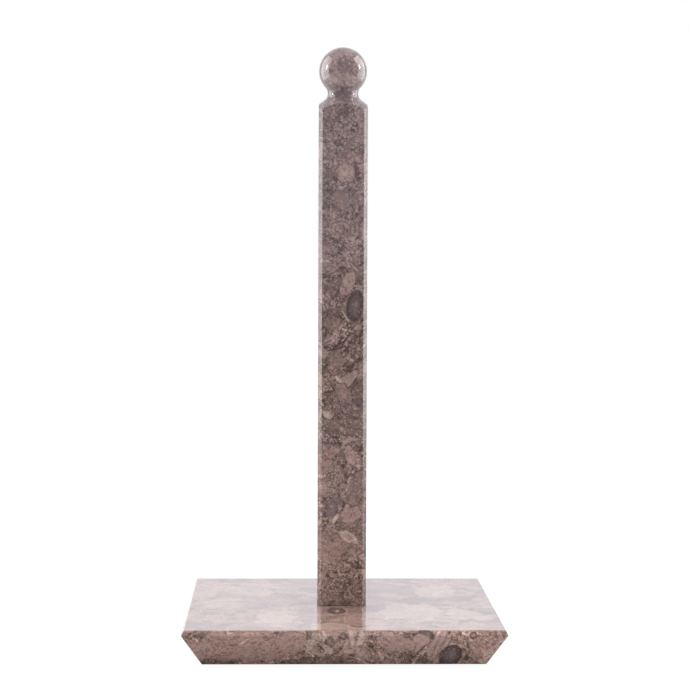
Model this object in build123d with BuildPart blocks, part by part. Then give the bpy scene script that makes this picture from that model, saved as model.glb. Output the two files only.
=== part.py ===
# Free-standing paper towel holder in polished fossil stone: a square slab with an undercut
# edge carries a square post whose top end is turned to a shoulder, a neck and a ball.
# A steel stud, set in resin in the post, passes through the slab and is drawn tight by a
# nut in a recess underneath. Rubber feet keep the slab off the worktop.
# Frame: millimetres, +Z up, origin on the worktop under the middle of the slab.
import math
import os

from build123d import *

# Slab
rim_width = 165.0  # the widest line round the slab, 6.5 inches
slab_thickness = 19.0  # 3/4 inch slab
bevel_run = 1.5  # small upper bevel, from the rim in to the top face
bevel_drop = 2.5
undercut_run = 10.2  # long lower bevel, from the rim in to the underside
slab_arris = 0.4  # softened edges

# Post, turned at its top end
stone_height = 317.5  # underside of the slab to the top of the ball, 12.5 inches
post_width = 26.0  # square stock
post_chamfer = 2.0  # long edges of the post
post_foot_chamfer = 0.4
ball_radius = 12.85  # just inside the square stock that it is turned from
shoulder_drop = 17.5  # centre of the ball down to where the shoulder meets the flat faces
shoulder_slope = 37.0  # degrees from level
neck_cove = 4.2  # concave radius between the ball and the shoulder

# Resin joint at the foot of the post
bed_thickness = 0.4
bed_lip = 0.35  # bead that is squeezed out past the post
bed_round = 0.25

# Stud and its blind hole in the post
stud_diameter = 6.0
stud_length = 60.0
stud_end_chamfer = 0.7
stud_setback = 1.0  # stud end above the underside of the slab
socket_diameter = 8.0  # blind hole in the post, filled with resin round the stud
socket_end_gap = 2.0
slab_hole_diameter = 7.0

# Nut, washers and their recess
recess_diameter = 22.0
recess_depth = 10.5
recess_edge = 0.5
washer_diameter = 18.0
washer_hole_diameter = 6.4
washer_thickness = 1.6
spring_diameter = 11.1
spring_hole_diameter = 6.4
spring_thickness = 1.6
spring_split = 1.2
spring_split_lean = 25.0  # degrees from upright
nut_across_flats = 10.0
nut_height = 5.0
nut_bevel = 30.0  # degrees from level
nut_bore_clearance = 0.05  # on radius, round the crests of the stud
nut_bore_mouth = 0.5

# Rubber feet
feet_diameter = 20.0
feet_thickness = 1.5
feet_bevel = 0.3
feet_spacing = 106.0  # centre to centre, both ways

# Levels worked out from the sizes above
slab_bottom = feet_thickness
slab_top = slab_bottom + slab_thickness
rim_level = slab_top - bevel_drop
top_width = rim_width - 2 * bevel_run
bottom_width = rim_width - 2 * undercut_run
post_foot = slab_top + bed_thickness
ball_top = slab_bottom + stone_height
ball_level = ball_top - ball_radius
shoulder_level = ball_level - shoulder_drop
recess_ceiling = slab_bottom + recess_depth
washer_bottom = recess_ceiling - washer_thickness
spring_bottom = washer_bottom - spring_thickness
nut_bottom = spring_bottom - nut_height
stud_bottom = slab_bottom + stud_setback
stud_top = stud_bottom + stud_length
socket_depth = stud_top + socket_end_gap - post_foot

os.makedirs("parts", exist_ok=True)


def save(piece, name):
    """Labels a finished piece and writes its STEP file."""
    piece.part.label = name
    export_step(piece.part, f"parts/{name}.step")


# Slab: two tapered blocks that meet at the rim, softened, then drilled and recessed from below
with BuildPart() as base_slab:
    with BuildSketch(Plane.XY.offset(slab_bottom)):
        Rectangle(bottom_width, bottom_width)
    with BuildSketch(Plane.XY.offset(rim_level)):
        Rectangle(rim_width, rim_width)
    loft(ruled=True)
    with BuildSketch(Plane.XY.offset(rim_level)):
        Rectangle(rim_width, rim_width)
    with BuildSketch(Plane.XY.offset(slab_top)):
        Rectangle(top_width, top_width)
    loft(ruled=True)
    fillet(base_slab.edges(), radius=slab_arris)
    with Locations(Plane(origin=(0, 0, slab_bottom), z_dir=(0, 0, -1))):
        CounterBoreHole(
            radius=slab_hole_diameter / 2,
            counter_bore_radius=recess_diameter / 2,
            counter_bore_depth=recess_depth,
        )
    recess_mouth = base_slab.faces().sort_by(Axis.Z)[0].edges().filter_by(GeomType.CIRCLE)
    chamfer(recess_mouth, length=recess_edge)
save(base_slab, "base_slab")

# Post: chamfered square stock, cut by the lathe profile of ball, cove and conical shoulder
with BuildPart() as post:
    with BuildSketch(Plane.XY.offset(post_foot)) as stock:
        Rectangle(post_width, post_width)
        chamfer(stock.vertices(), length=post_chamfer)
    extrude(amount=ball_top - post_foot)
    chamfer(post.faces().sort_by(Axis.Z)[0].edges(), length=post_foot_chamfer)

    shoulder_rise = math.tan(math.radians(shoulder_slope))
    swing_radius = post_width  # past the corners of the square stock
    swing_level = shoulder_level - (swing_radius - post_width / 2) * shoulder_rise
    with BuildSketch(Plane.XZ) as turned:
        with BuildLine():
            shoulder_apex = shoulder_level + post_width / 2 * shoulder_rise
            Polyline(
                (0, post_foot),
                (swing_radius, post_foot),
                (swing_radius, swing_level),
                (0, shoulder_apex),
                close=True,
            )
        make_face()
        with Locations((0, ball_level)):
            Circle(ball_radius)
        with BuildLine():
            Polyline(
                (0, post_foot),
                (0, ball_top),
                (-swing_radius, ball_top),
                (-swing_radius, post_foot),
                close=True,
            )
        make_face(mode=Mode.SUBTRACT)
        neck_corner = turned.vertices().sort_by_distance((0, ball_level - ball_radius))[:1]
        fillet(neck_corner, radius=neck_cove)
    revolve(axis=Axis.Z, mode=Mode.INTERSECT)

    with Locations(Plane(origin=(0, 0, post_foot), z_dir=(0, 0, -1))):
        Hole(radius=socket_diameter / 2, depth=socket_depth)
save(post, "post")

# Resin bed under the post, with its bead standing out all round
with BuildPart() as resin_bed:
    with BuildSketch(Plane.XY.offset(slab_top)) as bed_outline:
        Rectangle(post_width + 2 * bed_lip, post_width + 2 * bed_lip)
        chamfer(bed_outline.vertices(), length=post_chamfer)
    extrude(amount=bed_thickness)
    fillet(resin_bed.faces().sort_by(Axis.Z)[-1].edges(), radius=bed_round)
    Hole(radius=slab_hole_diameter / 2)
save(resin_bed, "resin_bed")

# Stud
with BuildPart() as stud:
    with BuildSketch(Plane.XY.offset(stud_bottom)):
        Circle(stud_diameter / 2)
    extrude(amount=stud_length)
    chamfer(stud.edges().filter_by(GeomType.CIRCLE), length=stud_end_chamfer)
save(stud, "stud")

# Resin that fills the blind hole round and above the stud
with BuildPart() as socket_resin:
    with BuildSketch(Plane.XY.offset(post_foot)):
        Circle(socket_diameter / 2)
    extrude(amount=socket_depth)
    add(stud.part, mode=Mode.SUBTRACT)
save(socket_resin, "socket_resin")

# Flat washer against the stone
with BuildPart() as flat_washer:
    with BuildSketch(Plane.XY.offset(washer_bottom)):
        Circle(washer_diameter / 2)
        Circle(washer_hole_diameter / 2, mode=Mode.SUBTRACT)
    extrude(amount=washer_thickness)
save(flat_washer, "flat_washer")

# Split spring washer, pressed flat, with its slanting cut
with BuildPart() as spring_washer:
    with BuildSketch(Plane.XY.offset(spring_bottom)):
        Circle(spring_diameter / 2)
        Circle(spring_hole_diameter / 2, mode=Mode.SUBTRACT)
    extrude(amount=spring_thickness)
    split_plane = Plane(origin=(0, 0, spring_bottom + spring_thickness / 2), z_dir=(1, 0, 0))
    with BuildSketch(split_plane.rotated((0, 0, spring_split_lean))):
        Rectangle(spring_split, 3 * spring_thickness)
    extrude(amount=spring_diameter, mode=Mode.SUBTRACT)
save(spring_washer, "spring_washer")

# Hexagon nut: a hexagonal prism with both ends turned to a cone
with BuildPart() as hex_nut:
    with BuildSketch(Plane.XY.offset(nut_bottom)):
        RegularPolygon(nut_across_flats / 2, 6, major_radius=False)
    extrude(amount=nut_height)
    across_corners = nut_across_flats / math.cos(math.radians(30))
    corner_drop = (across_corners - nut_across_flats) / 2 * math.tan(math.radians(nut_bevel))
    with BuildSketch(Plane.XZ):
        with BuildLine():
            Polyline(
                (0, nut_bottom),
                (nut_across_flats / 2, nut_bottom),
                (across_corners / 2, nut_bottom + corner_drop),
                (across_corners / 2, nut_bottom + nut_height - corner_drop),
                (nut_across_flats / 2, nut_bottom + nut_height),
                (0, nut_bottom + nut_height),
                close=True,
            )
        make_face()
    revolve(axis=Axis.Z, mode=Mode.INTERSECT)
    Hole(radius=stud_diameter / 2 + nut_bore_clearance)
    bore_mouths = hex_nut.edges().filter_by(GeomType.CIRCLE).sort_by(SortBy.RADIUS)[:2]
    chamfer(bore_mouths, length=nut_bore_mouth)
save(hex_nut, "hex_nut")

# Four rubber feet, one at each corner of the underside
feet_names = ("foot_front_left", "foot_back_left", "foot_front_right", "foot_back_right")
feet_places = GridLocations(feet_spacing, feet_spacing, 2, 2).locations
for foot_name, foot_place in zip(feet_names, feet_places):
    with BuildPart() as rubber_foot:
        with BuildSketch(Plane(foot_place)):
            Circle(feet_diameter / 2)
        extrude(amount=feet_thickness)
        chamfer(rubber_foot.faces().sort_by(Axis.Z)[0].edges(), length=feet_bevel)
    save(rubber_foot, foot_name)
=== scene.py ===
"""Looks of a free-standing paper towel holder in polished fossil stone, round its CAD frame.

The stone pieces are the CAD nodes with one solid stone material, so that the pattern runs on
through every cut face. Sizes are in metres, apart from those that say millimetres.
"""
import math
from typing import NamedTuple

import bmesh
import bpy
from mathutils import Matrix, Vector


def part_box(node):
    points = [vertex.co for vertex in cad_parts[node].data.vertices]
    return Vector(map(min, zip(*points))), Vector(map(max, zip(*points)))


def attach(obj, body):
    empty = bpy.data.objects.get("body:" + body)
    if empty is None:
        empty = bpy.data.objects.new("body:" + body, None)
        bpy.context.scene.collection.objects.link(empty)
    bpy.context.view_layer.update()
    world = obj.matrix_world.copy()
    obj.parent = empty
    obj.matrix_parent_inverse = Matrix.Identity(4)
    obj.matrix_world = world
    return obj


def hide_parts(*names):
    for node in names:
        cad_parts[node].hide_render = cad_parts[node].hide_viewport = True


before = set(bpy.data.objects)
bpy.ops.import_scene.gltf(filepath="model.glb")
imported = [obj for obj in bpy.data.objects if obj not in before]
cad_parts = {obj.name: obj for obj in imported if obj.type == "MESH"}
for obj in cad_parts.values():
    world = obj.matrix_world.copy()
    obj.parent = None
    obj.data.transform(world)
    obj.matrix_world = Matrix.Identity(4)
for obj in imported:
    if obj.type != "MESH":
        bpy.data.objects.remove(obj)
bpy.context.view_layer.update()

MM = 0.001
WHITE = (1, 1, 1, 1)
SIDES = (("left", -1), ("right", 1))

# Camera, as fitted to the photograph; lens and sensor in millimetres
CAMERA_PLACE = (-0.0288, -1.1595, 0.2226)
CAMERA_TILT_DOWN = math.radians(3.09)
CAMERA_TURN_RIGHT = math.radians(1.49)
CAMERA_ROLL = math.radians(-0.22)
CAMERA_LENS = 112.8
CAMERA_SENSOR = 36.0

# Surround: radiance and tint of its zones, and the steps between them by the parts of a direction
SURROUND_LEVEL = 1.0
CAMERA_SIDE_LEVEL = 0.30
TOP_LEVEL = 0.75
SIDE_LEVEL = 0.4
BACK_TINT = (0.885, 0.905, 0.965)
SIDE_TINT = (1.0, 0.95, 0.92)
CAMERA_SIDE_STEP = (-0.34, 0.0)
TOP_STEP = (0.3, 0.9)
SIDE_ACROSS_STEP = (0.55, 0.95)
SIDE_AWAY_STEP = (-0.1, 0.08)
SIDE_UP_STEP = (0.75, 0.25)

# Floor: tones, size, and the steps round the zones that look dim in the holder's gloss
FLOOR_GLOW = 0.94
FLOOR_WHITE = (0.8, 0.8, 0.8, 1)
FLOOR_SHADOW_FILM = (0.13, 0.13, 0.13, 1)
FLOOR_MIRRORED = (0.2, 0.2, 0.2, 1)
FLOOR_HALF_WIDTH = 6.0
ROUND_SLAB_STEP = (0.104, 0.094)
AHEAD_STEP = (0.0, -0.1)
AHEAD_WIDTH_STEP = (0.25, 0.10)
FAR_AHEAD_STEP = (-0.2, -0.9)

# Lamps: radiance, place, and width and height
LAMP_AIM = 0.6  # share of the holder's height
SOFTBOX_LEVEL = 34.0
SOFTBOX_ASIDE = 1.15
SOFTBOX_DEPTH = -0.06
SOFTBOX_RISE = 0.28  # above the ball
SOFTBOX_SIZE = (0.10, 0.28)
CARD_LEVEL = 2.4
CARD_ASIDE = 0.6
CARD_DEPTH = 0.16
CARD_MIDDLE = 0.505
CARD_SIZE = (0.68, 0.99)
CARD_FADE = 0.09  # share of the card's height
FILL_LEVEL = 1.8
FILL_PLACE = (0.1, -1.3, 1.1)
FILL_SIZE = (1.4, 0.9)
OVERHEAD_LEVEL = 2.5
OVERHEAD_PLACE = (0.0, -0.1, 1.5)
OVERHEAD_SIZE = (1.2, 1.2)

# Thread of the stud; the half widths of its ridge are shares of the pitch
THREAD_PITCH = 1.0 * MM
THREAD_DEPTH = 0.6 * MM
THREAD_CLEARANCE = 0.03 * MM
THREAD_STEPS = 16  # in a turn
BARE_TURNS = 2  # one at each end
RIDGE_SINK = 0.1 * MM
RIDGE_FOOT = 0.45
RIDGE_CREST = 0.07
CORE_SIDES = 32
CORE_BEVEL = 0.3 * MM
LEVEL_EDGE = 0.01 * MM  # most that the ends of a level edge differ by


def paint(red, green, blue):
    """A colour given in 8-bit display values, as the linear values that a shader takes."""
    def linear(level):
        share = level / 255
        return share / 12.92 if share <= 0.04045 else ((share + 0.055) / 1.055) ** 2.4
    return (linear(red), linear(green), linear(blue), 1.0)


# Stone colours
MAUVE_GREY = paint(138, 119, 122)
MAUVE_PALE = paint(150, 133, 138)
WARM_BROWN = paint(122, 100, 92)
ROSE_BROWN = paint(152, 123, 114)
SLAB_ROSE = paint(176, 143, 126)
FOOT_BROWN = paint(148, 120, 105)
PINK_BEIGE = paint(166, 137, 130)
TAUPE = paint(124, 103, 95)
LILAC_GREY = paint(116, 98, 99)
UMBER = paint(62, 48, 45)
CHARCOAL = paint(72, 59, 58)
SMOKE = paint(108, 92, 90)
CREAM = paint(190, 166, 153)

# Colours of the resin, the steel and the rubber
RESIN_DARK = paint(130, 110, 96)
RESIN_PALE = paint(165, 146, 130)
RESIN_BUBBLE = paint(222, 206, 194)
ZINC_DARK = paint(176, 178, 180)
ZINC_PALE = paint(214, 216, 217)
ZINC_STAIN = paint(150, 146, 138)
RUBBER_BLACK = paint(44, 43, 44)
RUBBER_DUST = paint(84, 81, 79)

# Steps in the stone by height, in millimetres; slab and post part in the middle of their joint
SLAB_STONE = (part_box("base_slab")[1].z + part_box("post")[0].z) / 2 / MM
MAUVE_STEP = (160.0, 250.0)  # brown turns to mauve up the post
BALL_STEP = (284.0, 292.0)
PEPPER_STEP = (55.0, 37.0)  # grain gets thicker down to the post's foot
WARM_STEP = (120.0, SLAB_STONE)
PALE_STEP = (250.0, SLAB_STONE)
JOINT_STEP = (SLAB_STONE + 0.1, SLAB_STONE)
SLAB_TOP_STEP = (SLAB_STONE - 1.2, SLAB_STONE - 0.3)

# Sizes of the stone's pattern, in millimetres
BEND_SIZE = 26.0
BEND_REACH = 18.0
FRAY_SIZE = 3.0
FRAY_REACH = 2.0
DRIFT_SIZE = 45.0
DRIFT_REACH = 90.0
BROAD_SIZE = 30.0
BLOTCH_SIZE = 12.0
SHELL_LINE_SIZE = 16.0
SHELL_LINE_GAPS = 9.0
CRACK_SIZE = 24.0
CRACK_GAPS = 10.0
GRAIN_PATCH = 18.0
SMALL_GRAIN = 0.8
LARGE_GRAIN = 1.5
FINE_MOTTLE = 0.7
POLISH_PATCH = 30.0
POLISH_WAVE = 14.0
SAW_GRAIN = 0.6

# Edges and growth lines of the fossils, in millimetres, apart from the reach, which is in radii
RAGGED_SIZE = 3.2
SWEEPING_SIZE = 11.0
LARGE_FOSSIL = 12.0  # radius above which the edge is sweeping
EDGE_REACH = 2.4
GROWTH_LINE_GAPS = 5.0

# Sawn stone under the slab, in millimetres
RECESS_CLEARANCE = 2.6  # from the washer's rim to past the chamfered mouth of the recess
SAWN_STEP = 0.1  # over which sawn stone turns to polished

# Tones of the flakes in the broken shell, by share
FLAKE_TONES = [
    (0.0, UMBER),
    (0.07, TAUPE),
    (0.27, WARM_BROWN),
    (0.42, LILAC_GREY),
    (0.50, ROSE_BROWN),
    (0.74, PINK_BEIGE),
    (0.93, CREAM),
]

# Tones of the scattered pebbles, by share
PEBBLE_TONES = [
    (0.0, SMOKE),
    (0.12, TAUPE),
    (0.38, WARM_BROWN),
    (0.52, ROSE_BROWN),
    (0.76, PINK_BEIGE),
    (0.95, CREAM),
]


class BrokenShell(NamedTuple):
    """One size of broken shell: sizes in millimetres, strengths of its tones and outlines."""
    patch: float
    thick: float
    long: float
    strength: float
    outline: float


class Pebbles(NamedTuple):
    """One size of scattered pebbles: spacing in millimetres, and share of the places with one."""
    spacing: float
    share: float
    outline: float


class Flake(NamedTuple):
    """Single shell flakes that lie one way: angles in radians, spacings in millimetres."""
    lean: float
    turn: float
    length: float
    thickness: float
    tint: tuple
    share: float


class Inclusion(NamedTuple):
    """A fossil or pebble that shows on a cut face, or a patch of painted shade: sizes in millimetres,
    tilt about Y in degrees.
    """
    centre: tuple
    radii: tuple
    heart: tuple
    rim: tuple
    tilt: float = 0.0
    uneven: float = 0.3
    rings: int = 0
    strength: float = 0.8
    outline: float = 0.4
    bands: int = 0


# Broken shell, from coarse to fine
SHELL_SIZES = (
    BrokenShell(patch=26.0, thick=6.0, long=11.0, strength=0.44, outline=0.40),
    BrokenShell(patch=13.0, thick=3.0, long=5.5, strength=0.48, outline=0.28),
    BrokenShell(patch=7.0, thick=1.3, long=2.2, strength=0.45, outline=0.15),
)

# Scattered pebbles, from large to small
PEBBLE_SIZES = (
    Pebbles(spacing=36.0, share=0.85, outline=0.5),
    Pebbles(spacing=20.0, share=0.70, outline=0.5),
    Pebbles(spacing=8.0, share=0.50, outline=0.4),
)

# Single shell flakes, from long to short
FLAKES = (
    Flake(lean=0.3, turn=0.5, length=18.0, thickness=2.4, tint=UMBER, share=0.22),
    Flake(lean=-0.5, turn=-0.7, length=15.0, thickness=2.2, tint=CREAM, share=0.12),
    Flake(lean=0.8, turn=1.6, length=14.0, thickness=2.0, tint=UMBER, share=0.22),
    Flake(lean=-0.2, turn=2.5, length=12.0, thickness=1.9, tint=CREAM, share=0.14),
    Flake(lean=0.1, turn=-0.2, length=10.0, thickness=1.7, tint=UMBER, share=0.22),
    Flake(lean=0.6, turn=1.1, length=8.0, thickness=1.6, tint=PINK_BEIGE, share=0.22),
    Flake(lean=-0.9, turn=0.2, length=7.0, thickness=1.4, tint=UMBER, share=0.22),
)

# Named fossils, and painted shade at the post's foot: centre, radii, colours of heart and rim, and
# the values that differ from the usual
INCLUSIONS = {
    # On the ball and the front of the post, from the top down
    "ball_cloud": Inclusion(
        (-1, -12, 301.2), (11, 5, 3.4), CREAM, CREAM,
        tilt=8, uneven=0.5, strength=0.3, outline=0.0,
    ),
    "ball_shade": Inclusion(
        (1.6, -12, 308.5), (5.0, 5, 3.4), CHARCOAL, CHARCOAL,
        tilt=-20, uneven=0.5, strength=0.3, outline=0.0,
    ),
    "high_fleck": Inclusion(
        (-2.8, -13, 267.4), (2.6, 3, 1.6), UMBER, UMBER,
        tilt=20, uneven=0.4, outline=0.0,
    ),
    "high_crescent": Inclusion((7.0, -13, 252.6), (1.4, 4, 5.4), CHARCOAL, CHARCOAL, tilt=-12),
    "high_pebble": Inclusion(
        (1.2, -13, 251.8), (5.2, 6, 5.4), CREAM, PINK_BEIGE,
        uneven=0.25, strength=0.7, outline=0.5,
    ),
    "mauve_swirl": Inclusion(
        (-1.0, -13, 222.0), (7.0, 6, 6.0), TAUPE, ROSE_BROWN,
        tilt=20, uneven=0.1, rings=3, strength=0.5, outline=0.2,
    ),
    "pink_pebble": Inclusion(
        (2.6, -13, 193.3), (3.4, 6, 7.0), PINK_BEIGE, PINK_BEIGE,
        tilt=24, uneven=0.12,
    ),
    "oval_halo": Inclusion(
        (5.4, -13, 180.6), (5.6, 6, 9.2), CREAM, TAUPE,
        tilt=9, uneven=0.1, strength=0.5, outline=0.0,
    ),
    "large_oval": Inclusion(
        (6.5, -13, 181.4), (4.4, 6, 8.3), SMOKE, CHARCOAL,
        tilt=9, uneven=0.04, strength=0.95, outline=0.5,
    ),
    "long_needle": Inclusion(
        (1.4, -13, 176.0), (0.45, 4, 3.6), CREAM, CREAM,
        tilt=-32, uneven=0.1, strength=0.9, outline=0.0,
    ),
    "taupe_pebble": Inclusion((-5.6, -13, 172.5), (4.4, 6, 4.0), TAUPE, TAUPE),
    "upper_spot": Inclusion(
        (3.6, -13, 171.1), (1.0, 3, 1.5), PINK_BEIGE, UMBER,
        uneven=0.05, strength=1.0, outline=0.8,
    ),
    "lower_spot": Inclusion(
        (2.6, -13, 166.8), (1.3, 3, 1.3), PINK_BEIGE, UMBER,
        uneven=0.05, strength=1.0, outline=0.8,
    ),
    "small_ring": Inclusion(
        (2.0, -13, 161.5), (1.6, 3, 2.4), PINK_BEIGE, UMBER,
        tilt=8, uneven=0.05, strength=1.0, outline=0.9,
    ),
    "olive_pebble": Inclusion((-3.4, -13, 152.7), (4.0, 6, 5.0), TAUPE, TAUPE, tilt=-14, outline=0.1),
    "pale_wedge": Inclusion((-1.4, -13, 141.4), (1.0, 4, 3.8), CREAM, CREAM, tilt=-40, outline=0.1),
    "long_clast": Inclusion(
        (0.6, -13, 135.0), (3.8, 6, 6.6), ROSE_BROWN, TAUPE,
        tilt=-34, uneven=0.25, outline=0.6,
    ),
    "rose_pebble": Inclusion((4.2, -13, 102.0), (2.6, 6, 5.2), PINK_BEIGE, PINK_BEIGE, tilt=-18),
    "striped_clast": Inclusion(
        (-3.0, -13, 88.0), (5.0, 6, 9.0), ROSE_BROWN, TAUPE,
        tilt=6, uneven=0.35, rings=3, strength=0.55, outline=0.3,
    ),
    "broad_clast": Inclusion((7.6, -13, 84.0), (4.2, 6, 10.0), TAUPE, TAUPE, tilt=14, uneven=0.25),
    "lilac_clast": Inclusion(
        (-5.0, -13, 74.5), (3.4, 6, 7.0), LILAC_GREY, LILAC_GREY,
        tilt=26, uneven=0.4,
    ),
    "rose_clast": Inclusion(
        (5.0, -13, 70.0), (6.0, 6, 4.0), ROSE_BROWN, PINK_BEIGE,
        tilt=-22, outline=0.3,
    ),
    "cream_sliver": Inclusion(
        (-3.7, -13, 67.7), (1.0, 4, 3.4), CREAM, CREAM,
        tilt=34, uneven=0.15, strength=0.85, outline=0.3,
    ),
    "beige_clast": Inclusion(
        (3.4, -13, 58.0), (5.0, 6, 2.6), PINK_BEIGE, CREAM,
        tilt=34, uneven=0.5, strength=0.75, outline=0.2,
    ),
    "foot_band": Inclusion(
        (-9.6, -13, 42), (2.2, 6, 13), PINK_BEIGE, PINK_BEIGE,
        tilt=3, strength=0.6, outline=0.1,
    ),
    # Painted shade: a soft umber patch that darkens the post's front towards its foot at the slab
    "painted_foot_shade": Inclusion(
        (2.5, -13, 26.5), (11.5, 8, 9), UMBER, UMBER,
        tilt=-6, uneven=0.4, strength=0.28, outline=0.0,
    ),
    # On the front of the slab, from the left
    "slab_plain": Inclusion(
        (-50, -80, 11), (33, 12, 10), ROSE_BROWN, ROSE_BROWN,
        tilt=-4, uneven=0.4, strength=0.75, outline=0.0,
    ),
    "slab_end": Inclusion(
        (72, -79, 10), (9, 12, 13), ROSE_BROWN, ROSE_BROWN,
        tilt=10, uneven=0.4, strength=0.5, outline=0.0,
    ),
    "slab_stroke": Inclusion(
        (-51, -81, 14.5), (0.7, 4, 3.8), CREAM, CREAM,
        tilt=52, uneven=0.2, outline=0.1,
    ),
    "slab_swirl": Inclusion(
        (-12.5, -80, 11.8), (8.4, 9, 7.6), TAUPE, CREAM,
        tilt=-30, uneven=0.6, rings=4, strength=0.65, outline=0.1,
    ),
    "swirl_shade": Inclusion(
        (-7.6, -81, 14.2), (2.6, 6, 3.6), SMOKE, CHARCOAL,
        tilt=-20, uneven=0.5, strength=0.75, outline=0.2,
    ),
    "swirl_slot": Inclusion(
        (-12, -80.5, 11.3), (0.8, 5, 3.2), UMBER, CHARCOAL,
        tilt=-44, uneven=0.2, strength=0.85, outline=0.0,
    ),
    "slab_bands": Inclusion(
        (5, -81, 15), (6.5, 9, 9), ROSE_BROWN, PINK_BEIGE,
        tilt=6, strength=0.7, outline=0.1, bands=2,
    ),
    "brown_block": Inclusion(
        (-0.8, -82.6, 17.6), (2.4, 5, 2.0), TAUPE, UMBER,
        tilt=6, uneven=0.25, outline=0.3,
    ),
    "cream_band": Inclusion(
        (3.4, -82, 15.5), (1.2, 5, 6.5), CREAM, CREAM,
        tilt=-8, uneven=0.6, strength=0.65, outline=0.2,
    ),
    "cream_wedge": Inclusion(
        (8.0, -82, 15.6), (2.0, 5, 4.4), CREAM, CREAM,
        tilt=16, uneven=0.7, strength=0.6, outline=0.2,
    ),
    "slab_blush": Inclusion(
        (26, -80, 14), (10, 10, 5.4), ROSE_BROWN, PINK_BEIGE,
        tilt=14, uneven=0.35, strength=0.7, outline=0.5,
    ),
    "slab_crescent": Inclusion(
        (40.5, -82.5, 17.5), (4.8, 6, 3.4), SMOKE, CHARCOAL,
        tilt=14, uneven=0.05, strength=0.85, outline=0.5,
    ),
    "crescent_fill": Inclusion(
        (38.6, -82, 15.6), (4.6, 6, 3.2), PINK_BEIGE, PINK_BEIGE,
        tilt=14, uneven=0.08, strength=0.9, outline=0.3,
    ),
    "oval_bands": Inclusion(
        (48, -78, 11), (6, 9, 11), ROSE_BROWN, PINK_BEIGE,
        tilt=18, strength=0.75, outline=0.1, bands=2,
    ),
    "slab_oval": Inclusion(
        (53.6, -76, 6), (5.4, 9, 7.4), SMOKE, CHARCOAL,
        tilt=24, uneven=0.05, strength=0.95, outline=0.5,
    ),
    "slab_ring": Inclusion((64.7, -82.8, 18), (2.0, 4, 2.0), ROSE_BROWN, UMBER, uneven=0.1),
    "slab_corner": Inclusion(
        (76, -77, 10), (2.2, 8, 9), PINK_BEIGE, CREAM,
        tilt=44, rings=2, strength=0.7, outline=0.2,
    ),
    # On the top of the slab, from the front
    "slab_cream": Inclusion(
        (-4, -71, 20), (13, 9, 5), CREAM, CREAM,
        tilt=6, uneven=0.8, strength=0.6, outline=0.1,
    ),
    "slab_wave": Inclusion(
        (8, -66, 20.5), (5.5, 7, 2), UMBER, UMBER,
        uneven=0.2, strength=0.7, outline=0.0,
    ),
    "wave_fill": Inclusion(
        (8, -62.5, 20.5), (5.8, 7, 2), ROSE_BROWN, PINK_BEIGE,
        uneven=0.2, strength=0.95, outline=0.0,
    ),
    "patch_front": Inclusion(
        (-34.6, -46, 20.5), (11, 20, 5), CREAM, CREAM,
        uneven=0.9, strength=0.6, outline=0.0,
    ),
    "patch_corner": Inclusion(
        (65, -38, 20.5), (11, 16, 5), CREAM, CREAM,
        uneven=0.9, strength=0.6, outline=0.0,
    ),
    "patch_right": Inclusion(
        (37, -29, 20.5), (18, 24, 5), CREAM, CREAM,
        uneven=0.9, strength=0.6, outline=0.0,
    ),
    "slab_lens": Inclusion(
        (-3.2, -26, 20.5), (4.8, 9.0, 2), TAUPE, UMBER,
        uneven=0.18, strength=0.85, outline=0.7,
    ),
    "lens_fleck": Inclusion(
        (-2.6, -26, 20.5), (0.9, 2.6, 2), CREAM, CREAM,
        uneven=0.5, strength=0.75, outline=0.0,
    ),
    "patch_left": Inclusion(
        (-62, 0, 20.5), (10, 17, 5), CREAM, CREAM,
        uneven=0.9, strength=0.4, outline=0.0,
    ),
    "patch_back": Inclusion(
        (51, 37, 20.5), (11, 20, 5), CREAM, CREAM,
        uneven=0.9, strength=0.5, outline=0.0,
    ),
    "patch_far": Inclusion(
        (-50, 45, 20.5), (14, 19, 5), CREAM, CREAM,
        uneven=0.9, strength=0.4, outline=0.0,
    ),
}

# Sockets of the node group that draws a fossil
FOSSIL_SOCKETS = {
    "Fossils": "NodeSocketColor",
    "Bare": "NodeSocketFloat",
    "Place": "NodeSocketVector",
    "Edge": "NodeSocketFloat",
    "Centre": "NodeSocketVector",
    "Turn": "NodeSocketVector",
    "Radii": "NodeSocketVector",
    "Heart": "NodeSocketColor",
    "Rim": "NodeSocketColor",
    "Uneven": "NodeSocketFloat",
    "Strength": "NodeSocketFloat",
    "Outline": "NodeSocketFloat",
    "Rings": "NodeSocketFloat",
    "Bands": "NodeSocketFloat",
    "Lines": "NodeSocketFloat",
}


class Signal:
    """A shader socket that can stand in Python expressions: arithmetic adds Math nodes."""

    def __init__(self, shade, socket):
        self.shade = shade
        self.socket = socket

    def __add__(self, other):
        return self.shade.math("ADD", self, other)

    def __sub__(self, other):
        return self.shade.math("SUBTRACT", self, other)

    def __rsub__(self, other):
        return self.shade.math("SUBTRACT", other, self)

    def __mul__(self, other):
        return self.shade.math("MULTIPLY", self, other)

    def __truediv__(self, other):
        return self.shade.math("DIVIDE", self, other)

    def __rtruediv__(self, other):
        return self.shade.math("DIVIDE", other, self)

    def __abs__(self):
        return self.shade.math("ABSOLUTE", self)

    __radd__ = __add__
    __rmul__ = __mul__


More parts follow.
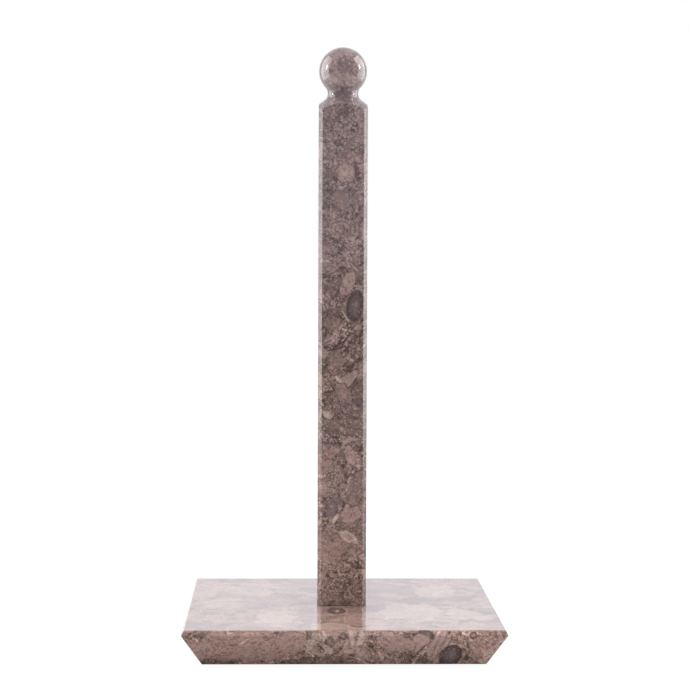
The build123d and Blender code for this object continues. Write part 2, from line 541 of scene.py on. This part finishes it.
class Shade:
    """A node tree with one method that adds any node, and short names for the common ones."""

    def __init__(self, tree):
        self.tree = tree
        tree.nodes.clear()

    def node(self, kind, settings=None, inputs=None, output=0):
        """Adds a node, sets its settings, then its sockets, and gives one output as a Signal."""
        made = self.tree.nodes.new(kind)
        for name, value in (settings or {}).items():
            if name == "stops":
                self.set_stops(made.color_ramp, value)
            else:
                setattr(made, name, value)
        for name, value in (inputs or {}).items():
            socket = made.inputs[name]
            if isinstance(value, Signal):
                self.tree.links.new(value.socket, socket)
            else:
                socket.default_value = value
        return Signal(self, made.outputs[output]) if made.outputs else None

    @staticmethod
    def set_stops(ramp, stops):
        """Gives a colour ramp flat steps of colour, one from each stop to the next."""
        ramp.interpolation = "CONSTANT"
        while len(ramp.elements) < len(stops):
            ramp.elements.new(1.0)
        for element, (place, colour) in zip(ramp.elements, stops):
            element.position = place
            element.color = colour

    def math(self, operation, first, second=0.0):
        return self.node("ShaderNodeMath", {"operation": operation}, {0: first, 1: second})

    def hypot(self, first, second):
        return self.math("SQRT", first * first + second * second)

    def smooth(self, value, low, high, start=0.0, end=1.0):
        """A soft step of value from low to high, or falling where low is above high."""
        if low > high:
            low, high, start, end = high, low, end, start
        inputs = {"Value": value, "From Min": low, "From Max": high, "To Min": start, "To Max": end}
        return self.node("ShaderNodeMapRange", {"interpolation_type": "SMOOTHSTEP"}, inputs)

    def mix(self, factor, first, second):
        settings = {"data_type": "RGBA", "clamp_factor": True}
        return self.node("ShaderNodeMix", settings, {0: factor, 6: first, 7: second}, 2)

    def stepped(self, value, stops):
        """The colour of the stop that value has come to."""
        return self.node("ShaderNodeValToRGB", {"stops": stops}, {0: value}, "Color")

    def vector(self, operation, first, second, output=0):
        """Vector Math; SCALE takes its second value as the scale."""
        place = "Scale" if operation == "SCALE" else 1
        settings = {"operation": operation}
        return self.node("ShaderNodeVectorMath", settings, {0: first, place: second}, output)

    def noise(self, vector, size, detail=2.0, roughness=0.5, output="Fac"):
        """Noise whose blotches are about size across, in the unit of vector."""
        inputs = {"Vector": vector, "Scale": 1 / size, "Detail": detail, "Roughness": roughness}
        return self.node("ShaderNodeTexNoise", {}, inputs, output)

    def cells(self, vector, size, output="Distance", feature="F1"):
        """Scattered cells about size across: distance to the cell's point, or its random colour."""
        inputs = {"Vector": vector, "Scale": 1 / size}
        return self.node("ShaderNodeTexVoronoi", {"feature": feature}, inputs, output)

    def parts(self, vector):
        """The three components of a vector or colour."""
        split = self.node("ShaderNodeSeparateXYZ", {}, {0: vector})
        return [Signal(self, out) for out in split.socket.node.outputs]

    def placed(self, vector, centre, turn, radii):
        """Coordinates in which an ellipsoid with that centre, turn and radii is the unit ball."""
        inputs = {"Vector": vector, "Location": centre, "Rotation": turn, "Scale": radii}
        return self.node("ShaderNodeMapping", {"vector_type": "TEXTURE"}, inputs)

    def turned(self, vector, patch):
        """Coordinates that are turned at random, another way in every patch of about that size."""
        turn = self.vector("SCALE", self.cells(vector, patch, "Color"), 2 * math.pi)
        inputs = {"Vector": vector, "Rotation": turn}
        return self.node("ShaderNodeVectorRotate", {"rotation_type": "EULER_XYZ"}, inputs)

    def millimetres(self):
        """Object coordinates in millimetres."""
        place = self.node("ShaderNodeTexCoord", {}, {}, "Object")
        return self.vector("SCALE", place, 1 / MM)

    def bump(self, height, strength, depth):
        """A normal from a height of 0 to 1, which stands for that depth."""
        inputs = {"Strength": strength, "Distance": depth, "Height": height}
        return self.node("ShaderNodeBump", {}, inputs)

    def surface(self, inputs):
        """A Principled shader with these sockets, as the material's surface."""
        shader = self.node("ShaderNodeBsdfPrincipled", {}, inputs)
        self.node("ShaderNodeOutputMaterial", {}, {"Surface": shader})


def new_material(name):
    material = bpy.data.materials.new(name)
    material.use_nodes = True
    return material, Shade(material.node_tree)


def stone_ground(shade, mm, warped):
    """Ground mass: tones that drift with height, in soft blotches of two sizes."""
    level = shade.parts(mm)[2]
    drift = level + (shade.noise(mm, DRIFT_SIZE, 2.0) - 0.5) * DRIFT_REACH
    colour = shade.mix(shade.smooth(drift, *MAUVE_STEP), WARM_BROWN, MAUVE_GREY)
    colour = shade.mix(shade.smooth(drift, *WARM_STEP), colour, FOOT_BROWN)
    colour = shade.mix(shade.smooth(level, *JOINT_STEP), colour, SLAB_ROSE)
    broad = shade.noise(warped, BROAD_SIZE, 3.0, 0.55)
    colour = shade.mix(shade.smooth(broad, 0.52, 0.64) * 0.3, colour, PINK_BEIGE)
    blotch = shade.noise(warped, BLOTCH_SIZE, 4.0, 0.62)
    colour = shade.mix(shade.smooth(blotch, 0.55, 0.68) * 0.3, colour, PINK_BEIGE)
    return shade.mix(shade.smooth(blotch, 0.47, 0.36) * 0.35, colour, UMBER)


def broken_shell(shade, bent, amount, colour):
    """Broken shell and stone: crisp flakes of three sizes, which lie another way in every patch."""
    for patch, thick, long, strength, outline in SHELL_SIZES:
        place = shade.vector("ADD", bent, (patch * 3.1, patch, patch * 7.7))
        flake = shade.vector("DIVIDE", shade.turned(place, patch), (thick, long, long))
        tone, light, _ = shade.parts(shade.cells(flake, 1.0, "Color"))
        tint = shade.stepped(tone, FLAKE_TONES)
        colour = shade.mix(amount * strength * 0.5, colour, tint)
        colour = shade.vector("SCALE", colour, 1.04 + (light - 0.5) * amount * strength * 1.7)
        edge = shade.cells(flake, 1.0, "Distance", "DISTANCE_TO_EDGE")
        colour = shade.mix(shade.smooth(edge, 0.11, 0.03) * amount * outline, colour, UMBER)
    return colour


def single_flakes(shade, bent, amount, colour):
    """Single shell flakes, dark and pale, thin and lying several ways."""
    for lean, turn, length, thickness, tint, share in FLAKES:
        radii = (thickness, length, length)
        place = shade.placed(bent, (3.0 * turn, 5.0 * lean, 2.0), (lean, turn, 0), radii)
        chance = shade.parts(shade.cells(place, 1.0, "Color"))[0]
        flake = shade.smooth(shade.cells(place, 1.0), 0.36, 0.28)
        kept = shade.smooth(chance, 1 - share, 1 - share + 0.01)
        colour = shade.mix(flake * kept * amount * 0.6, colour, tint)
    return colour


def thin_lines(shade, mm, bent, amount, colour):
    """Thin dark lines: the curved edges of shells, and cracks between the larger clasts."""
    line = abs(shade.noise(bent, SHELL_LINE_SIZE, 0.0) - 0.5)
    broken = shade.smooth(shade.noise(mm, SHELL_LINE_GAPS, 1.0), 0.50, 0.56) * amount
    colour = shade.mix(shade.smooth(line, 0.011, 0.004) * broken * 0.8, colour, UMBER)
    crack = shade.cells(bent, CRACK_SIZE, "Distance", "DISTANCE_TO_EDGE")
    broken = shade.smooth(shade.noise(mm, CRACK_GAPS, 1.0), 0.46, 0.54) * amount
    return shade.mix(shade.smooth(crack, 0.022, 0.008) * broken * 0.6, colour, UMBER)


def scattered_pebbles(shade, bent, amount, colour):
    """Scattered pebbles and fossil sections of three sizes; also how much of them covers a point."""
    cover = 0.0
    for spacing, share, outline in PEBBLE_SIZES:
        place = shade.vector("ADD", bent, (spacing * 1.3, spacing * 5.3, spacing * 2.7))
        turned = shade.turned(place, spacing * 2.5)
        pebble = shade.vector("DIVIDE", turned, (spacing * 0.8, spacing, spacing * 1.4))
        chance, size, tone = shade.parts(shade.cells(pebble, 1.0, "Color"))
        reach = shade.cells(pebble, 1.0) / (0.28 + size * 0.27)
        kept = shade.smooth(chance, share + 0.01, share) * amount
        inside = shade.smooth(reach, 1.0, 0.92) * kept
        tint = shade.stepped(tone, PEBBLE_TONES)
        tint = shade.mix(shade.smooth(reach, 0.3, 1.0) * 0.25, tint, UMBER)
        wave = shade.math("SINE", shade.parts(turned)[0] * (40.0 / spacing))
        tint = shade.mix(shade.smooth(wave, 0.2, 0.95) * size * 0.4, tint, UMBER)
        colour = shade.mix(inside * 0.8, colour, tint)
        rim = shade.smooth(abs(reach - 1.0), 0.10, 0.03) * kept
        colour = shade.mix(rim * outline, colour, UMBER)
        cover = shade.math("MAXIMUM", cover, inside * 0.6)
    return colour, cover


def fossil_group(name, lined):
    """A node group that lays one fossil over those before it, with growth lines where lined is true.

    Fossils is their colour times how much they cover, and Bare is the share of stone left bare.
    """
    group = bpy.data.node_groups.new(name, "ShaderNodeTree")
    for socket, kind in FOSSIL_SOCKETS.items():
        group.interface.new_socket(socket, in_out="INPUT", socket_type=kind)
    for socket in ("Fossils", "Bare"):
        group.interface.new_socket(socket, in_out="OUTPUT", socket_type=FOSSIL_SOCKETS[socket])
    shade = Shade(group)
    entry = shade.node("NodeGroupInput").socket.node
    given = {socket: Signal(shade, entry.outputs[socket]) for socket in FOSSIL_SOCKETS}
    place = shade.placed(given["Place"], given["Centre"], given["Turn"], given["Radii"])
    reach = shade.vector("LENGTH", place, (0, 0, 0), "Value") + given["Edge"] * given["Uneven"]
    tint = shade.mix(shade.smooth(reach, 0.1, 0.95), given["Heart"], given["Rim"])
    if lined:
        path = reach * given["Rings"] + shade.parts(place)[0] * given["Bands"]
        wave = shade.math("SINE", path * (2 * math.pi) + given["Edge"] * 1.5)
        tint = shade.mix(shade.smooth(wave, 0.2, 0.95) * given["Lines"], tint, UMBER)
        tint = shade.mix(shade.smooth(wave, -0.3, -0.95) * given["Lines"], tint, CREAM)
    cover = shade.smooth(reach, 1.04, 0.94) * given["Strength"]
    outline = shade.smooth(abs(reach - 1.0), 0.09, 0.02) * given["Outline"]
    fossils = shade.mix(outline, shade.mix(cover, given["Fossils"], tint), UMBER)
    bare = given["Bare"] * (1 - cover) * (1 - outline)
    shade.node("NodeGroupOutput", {}, {"Fossils": fossils, "Bare": bare})
    return group


def named_fossils(shade, mm, colour):
    """Lays the named fossils over a stone colour; also gives how much of them covers a point."""
    ragged = (shade.noise(mm, RAGGED_SIZE, 2.0) - 0.5) * EDGE_REACH
    sweeping = (shade.noise(mm, SWEEPING_SIZE, 2.0) - 0.5) * EDGE_REACH
    lines = shade.smooth(shade.noise(mm, GROWTH_LINE_GAPS, 2.0), 0.42, 0.58, 0.0, 0.55)
    plain_fossil = fossil_group("fossil", lined=False)
    lined_fossil = fossil_group("lined_fossil", lined=True)
    fossils = (0, 0, 0, 1)
    bare = 1.0
    for fossil in INCLUSIONS.values():
        lined = fossil.rings + fossil.bands > 0
        sockets = {
            "Fossils": fossils,
            "Bare": bare,
            "Place": mm,
            "Edge": sweeping if max(fossil.radii) > LARGE_FOSSIL else ragged,
            "Centre": fossil.centre,
            "Turn": (0, math.radians(fossil.tilt), 0),
            "Radii": fossil.radii,
            "Heart": fossil.heart,
            "Rim": fossil.rim,
            "Uneven": fossil.uneven,
            "Strength": fossil.strength,
            "Outline": fossil.outline,
        }
        if lined:
            sockets.update({"Rings": fossil.rings, "Bands": fossil.bands, "Lines": lines})
        settings = {"node_tree": lined_fossil if lined else plain_fossil}
        fossils = shade.node("ShaderNodeGroup", settings, sockets, "Fossils")
        bare = Signal(shade, fossils.socket.node.outputs["Bare"])
    return shade.vector("ADD", shade.vector("SCALE", colour, bare), fossils), 1 - bare


def salt_and_pepper(shade, mm, warped, small, thick, colour):
    """Dark and pale grains of two sizes, as thick as given, and a fine dark mottle."""
    large = shade.parts(shade.cells(warped, LARGE_GRAIN, "Color"))[1]
    colour = shade.mix(shade.smooth(small, 0.22, 0.15) * thick * 0.68, colour, UMBER)
    colour = shade.mix(shade.smooth(small, 0.84, 0.90) * thick * 0.58, colour, CREAM)
    colour = shade.mix(shade.smooth(large, 0.12, 0.09) * thick * 0.7, colour, UMBER)
    colour = shade.mix(shade.smooth(large, 0.92, 0.95) * thick * 0.35, colour, CREAM)
    mottle = shade.noise(mm, FINE_MOTTLE, 2.0, 0.6)
    return shade.mix(shade.smooth(mottle, 0.52, 0.64) * 0.25, colour, UMBER)


def unpolished(shade, mm):
    """1 on the slab's underside and in its recess, 0 on the polished faces."""
    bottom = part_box("base_slab")[0].z / MM
    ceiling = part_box("flat_washer")[1].z / MM
    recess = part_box("flat_washer")[1].x / MM + RECESS_CLEARANCE
    x, y, z = shade.parts(mm)
    drilled = shade.smooth(shade.hypot(x, y), recess + 2 * SAWN_STEP, recess)
    drilled = drilled * shade.smooth(z, ceiling + 2 * SAWN_STEP, ceiling + SAWN_STEP)
    below = shade.smooth(z, bottom + 2 * SAWN_STEP, bottom + SAWN_STEP)
    return shade.math("MAXIMUM", drilled, below)


def polished_stone():
    """Fossil stone: ground mass, broken shell, lines and fossils under a salt and pepper grain."""
    material, shade = new_material("polished_stone")
    mm = shade.millimetres()
    half = (0.5, 0.5, 0.5)
    bend = shade.vector("SUBTRACT", shade.noise(mm, BEND_SIZE, 0.0, output="Color"), half)
    fray = shade.vector("SUBTRACT", shade.noise(mm, FRAY_SIZE, 2.0, output="Color"), half)
    bent = shade.vector("ADD", mm, shade.vector("SCALE", bend, BEND_REACH))
    warped = shade.vector("ADD", bent, shade.vector("SCALE", fray, FRAY_REACH))

    # Masks by height: up the post, on the ball, in the slab, on the slab's top, at the post's foot
    level = shade.parts(mm)[2]
    high = shade.smooth(level, *MAUVE_STEP)
    ball = shade.smooth(level, *BALL_STEP)
    in_slab = shade.smooth(level, *JOINT_STEP)
    on_top = shade.smooth(level, *SLAB_TOP_STEP) * in_slab
    at_foot = shade.smooth(level, *PEPPER_STEP) * (1 - in_slab)

    # Layers, from the ground up; shelly, lined and pebbly say how strongly such layers show
    shelly = (1 - high * 0.4 + ball * 0.1) * (1 - in_slab * 0.1) * (1 - on_top * 0.6)
    shelly = shelly * (1 - at_foot * 0.35)
    colour = stone_ground(shade, mm, warped)
    colour = broken_shell(shade, bent, shelly, colour)
    colour = single_flakes(shade, bent, shelly, colour)
    lined = (1 - high * 0.9) * (1 - on_top * 0.5)
    colour = thin_lines(shade, mm, bent, lined, colour)
    colour = shade.mix(on_top * 0.5, colour, PINK_BEIGE)
    pebbly = (1 - high * 0.4) * (1 - on_top * 0.35) * (1 - at_foot * 0.7)
    colour, pebble_cover = scattered_pebbles(shade, bent, pebbly, colour)
    colour, fossil_cover = named_fossils(shade, mm, colour)
    calm = shade.math("MAXIMUM", fossil_cover, pebble_cover)

    # Grain, thinner in fossils and pebbles, on the slab's top and on the ball, thicker at the foot
    thick = shade.smooth(shade.noise(mm, GRAIN_PATCH, 2.0), 0.35, 0.6, 0.6, 1.0) * (1 - calm * 0.6)
    thick = thick * (1 - on_top * 0.6) * (1 - ball * 0.2)
    thick = thick + at_foot * 0.3
    small = shade.parts(shade.cells(mm, SMALL_GRAIN, "Color"))[0]
    colour = salt_and_pepper(shade, mm, warped, small, thick, colour)
    colour = shade.mix(high * 0.1 + ball * 0.1, colour, MAUVE_PALE)

    # The stone is paler towards the foot
    gain = shade.smooth(level, *PALE_STEP, 1.06, 1.37) * (1 - on_top * 0.03)
    colour = shade.vector("SCALE", colour, gain)

    # Polish, a little duller over open grain; the underside and the recess are left as sawn
    sawn = unpolished(shade, mm)
    colour = shade.mix(sawn * 0.45, colour, PINK_BEIGE)
    open_grain = shade.smooth(small, 0.14, 0.10) * (1 - ball)
    polish = 0.05 + open_grain * 0.05 + shade.noise(mm, POLISH_PATCH, 2.0) * 0.03
    height = shade.noise(mm, POLISH_WAVE, 1.0) * 0.01
    height = height + sawn * shade.noise(mm, SAW_GRAIN, 3.0, 0.6) * 0.2
    bump = shade.bump(height, 0.4, MM)
    shade.surface({
        "Base Color": colour,
        "Roughness": polish + sawn * 0.5,
        "Normal": bump,
        "IOR": 1.55,
        "Coat Weight": (1 - sawn) * 0.45,
        "Coat Roughness": 0.03,
        "Coat IOR": 1.5,
    })
    return material


def clear_resin():
    """Hardened resin, honey tinted, with a few small bubbles."""
    material, shade = new_material("clear_resin")
    mm = shade.millimetres()
    cloud = shade.noise(mm, 3.0, 3.0)
    bubble = shade.smooth(shade.cells(mm, 1.4), 0.22, 0.12)
    tint = shade.mix(cloud, RESIN_DARK, RESIN_PALE)
    tint = shade.mix(bubble * 0.4, tint, RESIN_BUBBLE)
    height = shade.noise(mm, 1.6, 2.0) - bubble * 0.4
    bump = shade.bump(height, 0.3, 0.1 * MM)
    shade.surface({
        "Base Color": tint,
        "Roughness": 0.10 + cloud * 0.08,
        "Normal": bump,
        "IOR": 1.55,
        "Coat Weight": 0.3,
    })
    return material


def zinc_steel():
    """Zinc plated steel: cool grey, with soft spangle and fine turning marks."""
    material, shade = new_material("zinc_steel")
    mm = shade.millimetres()
    spangle = shade.noise(mm, 1.5, 3.0, 0.6)
    stain = shade.smooth(shade.noise(mm, 5.0, 3.0), 0.55, 0.75)
    tint = shade.mix(spangle, ZINC_DARK, ZINC_PALE)
    tint = shade.mix(stain * 0.3, tint, ZINC_STAIN)
    x, y, _ = shade.parts(mm)
    turning = shade.math("SINE", shade.hypot(x, y) * 40.0) * shade.noise(mm, 2.0, 2.0)
    bump = shade.bump(turning, 0.15, 0.05 * MM)
    shade.surface({
        "Base Color": tint,
        "Metallic": 1.0,
        "Roughness": 0.26 + spangle * 0.14 + stain * 0.1,
        "Normal": bump,
    })
    return material


def rubber_foot():
    """Matt black rubber with a fine moulded grain and dusty scuffs."""
    material, shade = new_material("rubber_foot")
    mm = shade.millimetres()
    grain = shade.noise(mm, 0.35, 3.0, 0.65)
    scuff = shade.smooth(shade.noise(mm, 4.0, 4.0, 0.6), 0.55, 0.72)
    tint = shade.mix(scuff * 0.35, RUBBER_BLACK, RUBBER_DUST)
    bump = shade.bump(grain, 0.35, 0.08 * MM)
    shade.surface({
        "Base Color": tint,
        "Roughness": 0.72 + grain * 0.2,
        "Normal": bump,
        "IOR": 1.5,
    })
    return material


def new_piece(name, shape, material):
    """A shown object at the origin with the mesh of a finished bmesh."""
    mesh = bpy.data.meshes.new(name)
    shape.to_mesh(mesh)
    shape.free()
    mesh.materials.append(material)
    piece = bpy.data.objects.new(name, mesh)
    bpy.context.scene.collection.objects.link(piece)
    return piece


def threaded_stud(material):
    """The stud with its thread: a bevelled core, and one ridge wound up it, as closed shells."""
    low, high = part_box("stud")
    crest = high.x - THREAD_CLEARANCE
    root = crest - THREAD_DEPTH
    length = high.z - low.z
    shape = bmesh.new()
    bmesh.ops.create_cone(
        shape,
        cap_ends=True,
        segments=CORE_SIDES,
        radius1=root,
        radius2=root,
        depth=length,
        matrix=Matrix.Translation((0, 0, low.z + length / 2)),
    )
    rims = [
        edge for edge in shape.edges
        if abs(edge.verts[0].co.z - edge.verts[1].co.z) < LEVEL_EDGE
    ]
    bmesh.ops.bevel(
        shape, geom=rims, offset=CORE_BEVEL, affect="EDGES", segments=1, profile=0.5, material=-1
    )

    # One ridge section, then a helical spin
    start = low.z + THREAD_PITCH
    inner = root - RIDGE_SINK
    section = (
        (inner, -RIDGE_FOOT * THREAD_PITCH),
        (crest, -RIDGE_CREST * THREAD_PITCH),
        (crest, RIDGE_CREST * THREAD_PITCH),
        (inner, RIDGE_FOOT * THREAD_PITCH),
    )
    corners = [shape.verts.new((radius, 0, start + rise)) for radius, rise in section]
    ridge = shape.faces.new(corners)
    turns = int(length / THREAD_PITCH) - BARE_TURNS
    bmesh.ops.spin(
        shape,
        geom=[ridge, *ridge.edges, *corners],
        cent=(0, 0, 0),
        axis=(0, 0, 1),
        dvec=(0, 0, THREAD_PITCH / THREAD_STEPS),
        angle=2 * math.pi * turns,
        steps=THREAD_STEPS * turns,
        use_merge=False,
    )
    bmesh.ops.recalc_face_normals(shape, faces=shape.faces)
    stud = new_piece("threaded_stud", shape, material)
    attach(stud, "root")
    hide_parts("stud")


def dress(material, *nodes):
    """Gives CAD nodes a finished material."""
    for name in nodes:
        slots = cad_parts[name].data.materials
        slots.clear()
        slots.append(material)


def set_camera():
    camera = bpy.data.cameras.new("camera")
    camera.lens = CAMERA_LENS
    camera.sensor_width = CAMERA_SENSOR
    holder = bpy.data.objects.new("camera", camera)
    bpy.context.scene.collection.objects.link(holder)
    holder.location = CAMERA_PLACE
    holder.rotation_euler = (math.pi / 2 - CAMERA_TILT_DOWN, CAMERA_ROLL, -CAMERA_TURN_RIGHT)
    bpy.context.scene.camera = holder


def set_softbox(name, place, aim, size, level, in_reflections=True):
    """A rectangular lamp at place that faces aim, with its radiance given by level."""
    width, height = size
    lamp = bpy.data.lights.new(name, "AREA")
    lamp.shape = "RECTANGLE"
    lamp.size = width
    lamp.size_y = height
    lamp.energy = level * math.pi * width * height
    holder = bpy.data.objects.new(name, lamp)
    bpy.context.scene.collection.objects.link(holder)
    holder.location = place
    holder.rotation_euler = (Vector(aim) - Vector(place)).to_track_quat("-Z", "Y").to_euler()
    holder.visible_glossy = in_reflections
    return holder


def fade_down(lamp, share):
    """Makes a lamp fade out over that share of its height, down to its lower edge."""
    lamp.use_nodes = True
    shade = Shade(lamp.node_tree)
    rise = shade.parts(shade.node("ShaderNodeNewGeometry", {}, {}, "Parametric"))[1]
    glow = shade.node("ShaderNodeEmission", {}, {"Strength": shade.smooth(rise, 0.0, share)})
    shade.node("ShaderNodeOutputLight", {}, {"Surface": glow})


def set_cards():
    """White cards at both sides that show only in the gloss of the post, not in the slab's top."""
    post_alone = bpy.data.collections.new("post_alone")
    post_alone.objects.link(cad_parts["post"])
    aim = (0.0, CARD_DEPTH, CARD_MIDDLE)
    for word, side in SIDES:
        place = (side * CARD_ASIDE, CARD_DEPTH, CARD_MIDDLE)
        card = set_softbox("card_" + word, place, aim, CARD_SIZE, CARD_LEVEL)
        fade_down(card.data, CARD_FADE)
        card.visible_diffuse = False
        card.light_linking.receiver_collection = post_alone


def set_lamps():
    """Cards and narrow softboxes at both sides, and two soft lamps kept out of reflections."""
    ball_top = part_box("post")[1].z
    aim = (0.0, 0.0, ball_top * LAMP_AIM)
    set_cards()
    for word, side in SIDES:
        place = (side * SOFTBOX_ASIDE, SOFTBOX_DEPTH, ball_top + SOFTBOX_RISE)
        set_softbox("softbox_" + word, place, aim, SOFTBOX_SIZE, SOFTBOX_LEVEL)
    set_softbox("front_fill", FILL_PLACE, aim, FILL_SIZE, FILL_LEVEL, in_reflections=False)
    set_softbox("overhead", OVERHEAD_PLACE, aim, OVERHEAD_SIZE, OVERHEAD_LEVEL, in_reflections=False)


def set_surround():
    """White all round for the camera; for light and gloss brightest at the sides and dim in front."""
    world = bpy.data.worlds.new("surround")
    world.use_nodes = True
    bpy.context.scene.world = world
    shade = Shade(world.node_tree)
    direction = shade.node("ShaderNodeTexCoord", {}, {}, "Generated")
    across, away, up = shade.parts(direction)
    level = shade.smooth(away, *CAMERA_SIDE_STEP, CAMERA_SIDE_LEVEL, SURROUND_LEVEL)
    level = level * shade.smooth(up, *TOP_STEP, 1.0, TOP_LEVEL)
    side = shade.smooth(abs(across), *SIDE_ACROSS_STEP) * shade.smooth(away, *SIDE_AWAY_STEP)
    side = side * shade.smooth(abs(up), *SIDE_UP_STEP) * SIDE_LEVEL
    back_light = shade.vector("SCALE", BACK_TINT, level)
    side_light = shade.vector("SCALE", SIDE_TINT, side)
    colour = shade.vector("ADD", back_light, side_light)
    lit = shade.node("ShaderNodeBackground", {}, {"Color": colour, "Strength": 1.0})
    seen = shade.node("ShaderNodeBackground", {}, {"Color": WHITE, "Strength": 1.0})
    to_camera = shade.node("ShaderNodeLightPath", {}, {}, "Is Camera Ray")
    both = shade.node("ShaderNodeMixShader", {}, {0: to_camera, 1: lit, 2: seen})
    shade.node("ShaderNodeOutputWorld", {}, {"Surface": both})


def floor_white():
    """White that takes a shadow, and is dim in the gloss where the holder's faces mirror it."""
    material, shade = new_material("floor_white")
    path = shade.node("ShaderNodeLightPath").socket.node.outputs
    to_camera = Signal(shade, path["Is Camera Ray"])
    to_gloss = Signal(shade, path["Is Glossy Ray"])
    x, y, _ = shade.parts(shade.node("ShaderNodeTexCoord", {}, {}, "Object"))
    beside = shade.smooth(shade.math("MAXIMUM", abs(x), abs(y)), *ROUND_SLAB_STEP)
    ahead = shade.smooth(y, *AHEAD_STEP) * shade.smooth(abs(x), *AHEAD_WIDTH_STEP)
    far = shade.smooth(y, *FAR_AHEAD_STEP)
    mirrored = shade.math("MAXIMUM", beside, shade.math("MAXIMUM", ahead, far))
    matt = shade.node("ShaderNodeBsdfDiffuse", {}, {"Color": FLOOR_WHITE})
    film = shade.node("ShaderNodeBsdfDiffuse", {}, {"Color": FLOOR_SHADOW_FILM})
    glow = shade.node("ShaderNodeEmission", {}, {"Color": WHITE, "Strength": FLOOR_GLOW})
    shown = shade.node("ShaderNodeAddShader", {}, {0: glow, 1: film})
    dim = shade.node("ShaderNodeBsdfDiffuse", {}, {"Color": FLOOR_MIRRORED})
    in_gloss = shade.node("ShaderNodeMixShader", {}, {0: mirrored, 1: shown, 2: dim})
    lit = shade.node("ShaderNodeMixShader", {}, {0: to_gloss, 1: matt, 2: in_gloss})
    both = shade.node("ShaderNodeMixShader", {}, {0: to_camera, 1: lit, 2: shown})
    shade.node("ShaderNodeOutputMaterial", {}, {"Surface": both})
    return material


def set_floor():
    shape = bmesh.new()
    bmesh.ops.create_grid(shape, x_segments=1, y_segments=1, size=FLOOR_HALF_WIDTH)
    floor = new_piece("floor", shape, floor_white())


dress(polished_stone(), "base_slab", "post")
dress(clear_resin(), "resin_bed", "socket_resin")
steel = zinc_steel()
dress(steel, "flat_washer", "spring_washer", "hex_nut")
threaded_stud(steel)
dress(rubber_foot(), "foot_front_left", "foot_front_right", "foot_back_left", "foot_back_right")

set_camera()
set_lamps()
set_surround()
set_floor()
bpy.context.scene.view_settings.view_transform = "Standard"
